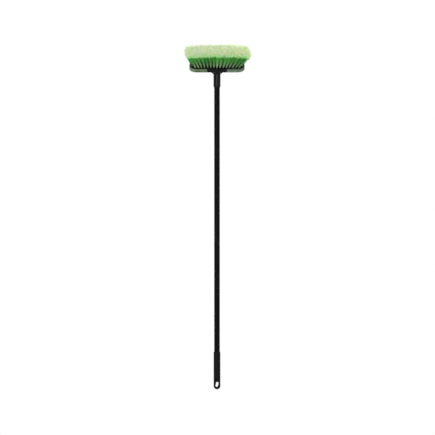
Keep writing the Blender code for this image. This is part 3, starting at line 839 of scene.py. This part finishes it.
def eased_copy(name, node, edge, finish):
    """A CAD solid's shape with its sharp edges rounded and its curves shaded smooth."""
    bm = bmesh.new()
    bm.from_mesh(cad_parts[node].data)
    bmesh.ops.remove_doubles(bm, verts=bm.verts, dist=WELD_DISTANCE)
    bmesh.ops.dissolve_limit(bm, angle_limit=FLAT_ANGLE, verts=bm.verts, edges=bm.edges)
    mesh = bpy.data.meshes.new(name)
    bm.to_mesh(mesh)
    bm.free()
    piece = bpy.data.objects.new(name, mesh)
    bpy.context.scene.collection.objects.link(piece)
    bevel = piece.modifiers.new("edge", "BEVEL")
    bevel.width = edge
    bevel.segments = EDGE_STEPS
    bevel.limit_method = "ANGLE"
    bevel.angle_limit = EDGE_ANGLE
    bevel.use_clamp_overlap = True
    make_plain(piece)
    soften(piece.data)
    level = piece.modifiers.new("level", "WEIGHTED_NORMAL")
    level.keep_sharp = True
    make_plain(piece)
    dress(piece, finish)
    return piece


def make_plain(piece):
    """Swaps a piece's mesh for what its modifiers make of it, and takes them off."""
    bpy.context.view_layer.update()
    evaluated = piece.evaluated_get(bpy.context.evaluated_depsgraph_get())
    made = bpy.data.meshes.new_from_object(evaluated)
    piece.modifiers.clear()
    piece.data = made


def soften(mesh):
    """Smooth shading, with sharp edges left crisp."""
    bm = bmesh.new()
    bm.from_mesh(mesh)
    for face in bm.faces:
        face.smooth = True
    for edge in bm.edges:
        edge.smooth = len(edge.link_faces) == 2 and edge.calc_face_angle(0.0) < SMOOTH_ANGLE
    bm.to_mesh(mesh)
    bm.free()


def dress(piece, finish):
    """Gives a piece its one material."""
    piece.data.materials.clear()
    if finish:
        piece.data.materials.append(finish)


def reach(node):
    """The low and high corners of a CAD solid."""
    points = [vertex.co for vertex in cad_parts[node].data.vertices]
    low = Vector(min(point[axis] for point in points) for axis in range(3))
    high = Vector(max(point[axis] for point in points) for axis in range(3))
    return low, high


def ring(radius, height, squeeze=None):
    """One round of a turned shape; squeeze, where given, eases its depth in from both sides."""
    points = []
    for step in range(ROUND_SIDES):
        turn = math.tau * step / ROUND_SIDES
        depth = radius * math.sin(turn)
        points.append(Vector((radius * math.cos(turn), squeeze(depth) if squeeze else depth, height)))
    return points


def lofted(name, loops, finish, joined=False):
    """A closed skin through loops of points, its ends capped or, where joined, run into each other."""
    bm = bmesh.new()
    rings = [[bm.verts.new(point) for point in loop] for loop in loops]
    pairs = list(zip(rings, rings[1:] + rings[:1])) if joined else list(zip(rings, rings[1:]))
    for low, high in pairs:
        for step, corner in enumerate(low):
            after = (step + 1) % len(low)
            bm.faces.new((corner, low[after], high[after], high[step]))
    if not joined:
        bm.faces.new(rings[0][::-1])
        bm.faces.new(rings[-1])
    bmesh.ops.recalc_face_normals(bm, faces=bm.faces)
    mesh = bpy.data.meshes.new(name)
    bm.to_mesh(mesh)
    bm.free()
    piece = bpy.data.objects.new(name, mesh)
    bpy.context.scene.collection.objects.link(piece)
    soften(mesh)
    dress(piece, finish)
    return piece


def quarter(steps):
    """Sine and cosine over a quarter turn, for roundings."""
    turns = [math.pi / 2 * step / steps for step in range(steps + 1)]
    return [(math.sin(turn), math.cos(turn)) for turn in turns]


def make_pole(finish):
    """The steel tube, its cut ends rolled over a little."""
    low, high = reach("pole_tube")
    outer, inner = high.x, high.x - TUBE_WALL
    edge = TUBE_EDGE
    within, without = quarter(TUBE_INNER_STEPS), quarter(TUBE_OUTER_STEPS)
    loops = [ring(inner + edge * (1 - c), low.z + edge * (1 - s)) for s, c in within]
    loops += [ring(outer - edge * (1 - s), low.z + edge * (1 - c)) for s, c in without]
    loops += [ring(outer, low.z + (high.z - low.z) * share) for share in TUBE_LEVEL_SHARES]
    loops += [ring(outer - edge * (1 - c), high.z - edge * (1 - s)) for s, c in without]
    loops += [ring(inner + edge * (1 - s), high.z - edge * (1 - c)) for s, c in within]
    return lofted("pole_steel", loops, finish, joined=True)


def make_grip(finish):
    """The soft sleeve: domed foot, flattened tab with a rolled eye, and a lip round its mouth."""
    low, high = reach("grip")
    radius = high.x
    tube = reach("pole_tube")
    bore = tube[1].x + GRIP_CLEARANCE
    floor = tube[0].z - GRIP_CLEARANCE
    tab_top = low.z + TAB_TOP

    def flattened(height):
        half = TAB_THICKNESS / 2 + max(height - tab_top, 0.0)

        def squeeze(depth):
            past = abs(depth) - (half - TAB_EDGE)
            if past <= 0.0:
                return depth
            eased = half if past >= 2 * TAB_EDGE else half - (2 * TAB_EDGE - past) ** 2 / (4 * TAB_EDGE)
            return math.copysign(eased, depth)

        return squeeze

    loops = []
    for s, c in quarter(DOME_STEPS)[1:]:
        height = low.z + radius * (1 - c)
        loops.append(ring(radius * s, height, flattened(height)))
    bend_top = tab_top + radius - TAB_THICKNESS / 2 + TAB_EDGE
    for step in range(1, TAB_STEPS + 1):
        height = low.z + radius + (bend_top - low.z - radius) * step / TAB_STEPS
        loops.append(ring(radius, height, flattened(height)))
    shoulder = high.z - GRIP_SHOULDER
    for step in range(1, BARREL_STEPS + 1):
        loops.append(ring(radius, bend_top + (shoulder - bend_top) * step / BARREL_STEPS))
    lip = bore + GRIP_LIP
    for step in range(1, SHOULDER_STEPS + 1):
        share = step / SHOULDER_STEPS
        ease = share * share * (3 - 2 * share)
        height = shoulder + (GRIP_SHOULDER - GRIP_LIP) * share
        loops.append(ring(radius + (lip - radius) * ease, height))
    half = GRIP_LIP / 2
    for s, c in quarter(LIP_STEPS)[1:]:
        loops.append(ring(lip - half * (1 - c), high.z - GRIP_LIP * (1 - s)))
    for s, c in quarter(MOUTH_STEPS)[1:]:
        loops.append(ring(bore + half * (1 - s), high.z - half * (1 - c)))
    loops += [ring(bore, (floor + high.z) / 2), ring(bore, floor)]
    grip = lofted("grip_sleeve", loops, finish)
    cut_through(grip, eye_cutter(low.z + EYE_HEIGHT))
    return grip


def eye_cutter(middle):
    """A slanted slot-shaped cutter, wider at both faces of the tab so that it leaves a rolled rim."""
    face = TAB_THICKNESS / 2
    profile = [(face - EYE_RIM * (1 - s), EYE_RIM * (1 - c)) for s, c in quarter(EYE_RIM_STEPS)]
    profile.append((face + EYE_RIM, EYE_RIM * 2))
    levels = [(-depth, grow) for depth, grow in reversed(profile)] + profile
    straight = (EYE_LENGTH - EYE_WIDTH) / 2
    sides = ROUND_SIDES // 2
    slant = Matrix.Translation((0.0, 0.0, middle)) @ Matrix.Rotation(EYE_SLANT, 4, "Y")
    loops = []
    for depth, grow in levels:
        radius = EYE_WIDTH / 2 + grow
        loop = []
        for step in range(sides):
            turn = math.tau * step / sides
            lift = straight if step < sides // 2 else -straight
            loop.append(slant @ Vector((radius * math.cos(turn), depth, lift + radius * math.sin(turn))))
        loops.append(loop)
    return lofted("eye_cutter", loops, None)


def cut_through(piece, cutter):
    """Takes a cutter's shape out of a piece and smooths what is left."""
    step = piece.modifiers.new("cut", "BOOLEAN")
    step.operation = "DIFFERENCE"
    step.solver = "EXACT"
    step.object = cutter
    make_plain(piece)
    bpy.data.objects.remove(cutter)
    soften(piece.data)


def fit(piece, body, slot, *nodes):
    """Hangs a piece on its body and hides the CAD solids that it stands for; its slot is not used."""
    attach(piece, body)
    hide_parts(*nodes)


def tip_half_length(depth):
    """Half the length of the trimmed bristles at this distance from the head's middle line."""
    into_corner = max(abs(depth) - (TIP_HALF_DEPTH - TIP_CORNER), 0.0)
    return TIP_HALF_LENGTH - TIP_CORNER + math.sqrt(TIP_CORNER**2 - into_corner**2)


def add_strip(bm, node, slot):
    """The slice of the block's face that a CAD strip of tufts stands in, its top edges eased."""
    back = HEAD_AXES.inverted()
    points = [back @ vertex.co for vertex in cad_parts[node].data.vertices]
    face = [point for point in points if -STRIP_FACE_BELOW < point.z < STRIP_FACE_ABOVE]
    low_x, high_x = min(p.x for p in face), max(p.x for p in face)
    low_y, high_y = min(p.y for p in face), max(p.y for p in face)
    ease, knee = STRIP_EASE, STRIP_EASE_KNEE
    levels = ((0.0, -STRIP_DEPTH), (0.0, -ease), (knee, -knee), (ease, 0.0))
    loops = []
    for inset, level in levels:
        corners = (
            (low_x + inset, low_y + inset),
            (high_x - inset, low_y + inset),
            (high_x - inset, high_y - inset),
            (low_x + inset, high_y - inset),
        )
        loops.append([bm.verts.new((x, y, level)) for x, y in corners])
    faces = [bm.faces.new(loops[0][::-1]), bm.faces.new(loops[-1])]
    for low, high in zip(loops, loops[1:]):
        for k in range(4):
            after = (k + 1) % 4
            faces.append(bm.faces.new((low[k], low[after], high[after], high[k])))
    for face in faces:
        face.material_index = slot


def make_bristles(fibre, strip):
    """The five rows of tufts, each with its strip of the block's face and hung on the head."""
    rule = tuft_row_rule()
    across = (TIP_HALF_DEPTH - SPREAD_ACROSS) / ROWS[-1][0]
    for place, (depth, tufts, last, pale, root_shade) in enumerate(ROWS):
        row = f"tufts_row_{place + 1}"
        piece = grow(
            row,
            rule,
            {
                "Tufts": tufts,
                "Tuft Spacing": 2.0 * last / (tufts - 1),
                "Row Depth": depth,
                "Filaments": FILAMENTS,
                "Hole Radius": HOLE_RADIUS,
                "Trim Height": TRIM_HEIGHT,
                "Crown Drop": CROWN_DROP,
                "Fan Along": (tip_half_length(depth * across) - SPREAD_ALONG) / last,
                "Fan Across": across,
                "Collar Height": COLLAR_HEIGHT,
                "Spread Along": SPREAD_ALONG,
                "Spread Across": SPREAD_ACROSS,
                "Lean": LEAN,
                "Skew": SKEW,
                "Half Length": TIP_HALF_LENGTH,
                "Filament Radius": FILAMENT_RADIUS,
                "Split Share": SPLIT_SHARE,
                "Split Ends": SPLIT_ENDS,
                "Split Spread": SPLIT_SPREAD,
                "Tuft Scatter": TUFT_SCATTER,
                "Tuft Rise": TUFT_RISE,
                "Root Depth": ROOT_DEPTH,
                "Tip Scatter Along": TIP_SCATTER_ALONG,
                "Tip Scatter Across": TIP_SCATTER_ACROSS,
                "Trim Scatter": TRIM_SCATTER,
                "Bend Scatter": BEND_SCATTER,
                "Pale Reach": pale,
                "Clump Grain": CLUMP_GRAIN,
                "Clump Pull": CLUMP_PULL,
                "Tone Grain": TONE_GRAIN,
                "Waist": WAIST,
                "Root Shade": root_shade,
                "Seed": FIRST_SEED + place * SEED_STEP,
                "Fibre": fibre,
                "Strip": strip,
            },
        )
        nodes = [f"{row}_{part}" for part in ("left", "middle", "right")]
        bm = bmesh.new()
        bm.from_mesh(piece.data)
        slot = [m.name for m in piece.data.materials].index(strip.name)
        for node in nodes:
            add_strip(bm, node, slot)
        bm.to_mesh(piece.data)
        bm.free()
        piece.data.transform(HEAD_AXES)
        fit(piece, "head", "bristles", *nodes)


# The view, the light and the floor


def set_up_view():
    """A level camera straight in front of the brush, with no perspective."""
    camera = bpy.data.objects.new("camera", bpy.data.cameras.new("camera"))
    camera.data.type = "ORTHO"
    camera.data.ortho_scale = VIEW_WIDTH
    camera.data.clip_end = VIEW_END
    camera.location = VIEW_CENTRE + Vector((0.0, -VIEW_DISTANCE, 0.0))
    camera.rotation_euler = (math.pi / 2, 0.0, 0.0)
    bpy.context.scene.collection.objects.link(camera)
    bpy.context.scene.camera = camera


def seen_rays(net):
    """1 for what the camera, a reflection or clear plastic looks at, 0 for light falling on the brush."""
    path = net.node("ShaderNodeLightPath", {}, {}, "Is Camera Ray")
    seen = path + path.out("Is Glossy Ray") + path.out("Is Transmission Ray")
    return seen.maths("MINIMUM", seen, 1.0)


def set_up_light():
    """A white world that lights more weakly than it looks, and the three soft lamps."""
    world = bpy.data.worlds.new("studio")
    world.use_nodes = True
    net = Net(world.node_tree)
    net.tree.nodes.clear()
    glow = net.node(
        "ShaderNodeBackground",
        {},
        {
            "Color": (1.0, 1.0, 1.0, 1.0),
            "Strength": seen_rays(net) * (WORLD_SEEN - WORLD_LIGHT) + WORLD_LIGHT,
        },
    )
    output = net.tree.nodes.new("ShaderNodeOutputWorld")
    net.tree.links.new(glow.socket, output.inputs["Surface"])
    bpy.context.scene.world = world
    bpy.context.scene.view_settings.view_transform = "Standard"
    for name, place, aim, across, watts in LAMPS:
        lamp = bpy.data.objects.new(name, bpy.data.lights.new(name, "AREA"))
        lamp.data.shape = "DISK"
        lamp.data.size = across
        lamp.data.energy = watts
        lamp.location = place
        lamp.rotation_euler = (aim - place).to_track_quat("-Z", "Y").to_euler()
        bpy.context.scene.collection.objects.link(lamp)


def lay_floor():
    """A pale floor that keeps the brush's shadow and fades to the white of the backdrop around it."""
    level = reach("grip")[0].z - FLOOR_GAP
    bm = bmesh.new()
    bmesh.ops.create_circle(bm, cap_ends=True, radius=FLOOR_RADIUS, segments=FLOOR_SIDES)
    bmesh.ops.translate(bm, verts=bm.verts, vec=(0.0, 0.0, level))
    mesh = bpy.data.meshes.new("floor")
    bm.to_mesh(mesh)
    bm.free()
    floor = bpy.data.objects.new("floor", mesh)
    bpy.context.scene.collection.objects.link(floor)
    material = bpy.data.materials.new("pale_floor")
    material.use_nodes = True
    net = Net(material.node_tree)
    net.tree.nodes.clear()
    place = net.node("ShaderNodeTexCoord", {}, {}, "Object")
    fade = net.node(
        "ShaderNodeMapRange",
        {"interpolation_type": "SMOOTHSTEP"},
        {
            "Value": place.maths("LENGTH", place, out=1),
            "From Min": FLOOR_FADE_FROM,
            "From Max": FLOOR_FADE_FULL,
            "To Min": FLOOR_WHITE_SHARE,
            "To Max": 1.0,
        },
    )
    paint = net.node("ShaderNodeBsdfDiffuse", {}, {"Color": (0.83, 0.83, 0.83, 1.0)})
    glow = net.node("ShaderNodeEmission", {}, {"Color": (1, 1, 1, 1), "Strength": 1.0})
    mixed = net.node("ShaderNodeMixShader", {}, {0: seen_rays(net) * fade, 1: paint, 2: glow})
    output = net.tree.nodes.new("ShaderNodeOutputMaterial")
    net.tree.links.new(mixed.socket, output.inputs["Surface"])
    mesh.materials.append(material)


def main():
    set_up_view()
    set_up_light()
    lay_floor()
    coat = pole_coat()
    rubber = grip_rubber()
    socket = moulded_black(
        "socket_black",
        colour=srgb(5, 5, 5),
        worn=srgb(17, 17, 17),
        low_rough=0.16,
        high_rough=0.24,
        level=0.12,
        grain_depth=0.00002,
    )
    block = moulded_black(
        "block_black",
        colour=srgb(4, 5, 4),
        worn=srgb(17, 18, 17),
        low_rough=0.5,
        high_rough=0.65,
        level=0.06,
        grain_depth=0.00006,
    )
    vinyl = bumper_vinyl()
    steel = bright_steel()
    make_bristles(bristle_fibre(), block)
    fit(make_pole(coat), "pole", "pole_coat", "pole_tube")
    fit(make_grip(rubber), "pole", "grip", "grip")
    plug = eased_copy("threaded_plug", "threaded_tip", PLUG_EDGE, socket)
    fit(plug, "pole", "tip", "threaded_tip")
    washer = eased_copy("washer_ring", "socket_washer", WASHER_EDGE, rubber)
    fit(washer, "washer", "washer", "socket_washer")
    fit(eased_copy("saddle_moulding", "saddle", SADDLE_EDGE, socket), "head", "saddle", "saddle")
    fit(eased_copy("brush_block", "block", BLOCK_EDGE, block), "head", "block", "block")
    for side in ("left", "right"):
        node = f"bumper_{side}"
        fit(eased_copy(f"{node}_strip", node, BUMPER_EDGE, vinyl), "head", "bumper", node)
        for row in ("front", "back"):
            node = f"screw_{row}_{side}"
            fit(eased_copy(f"{node}_steel", node, SCREW_EDGE, steel), "head", "screws", node)


main()
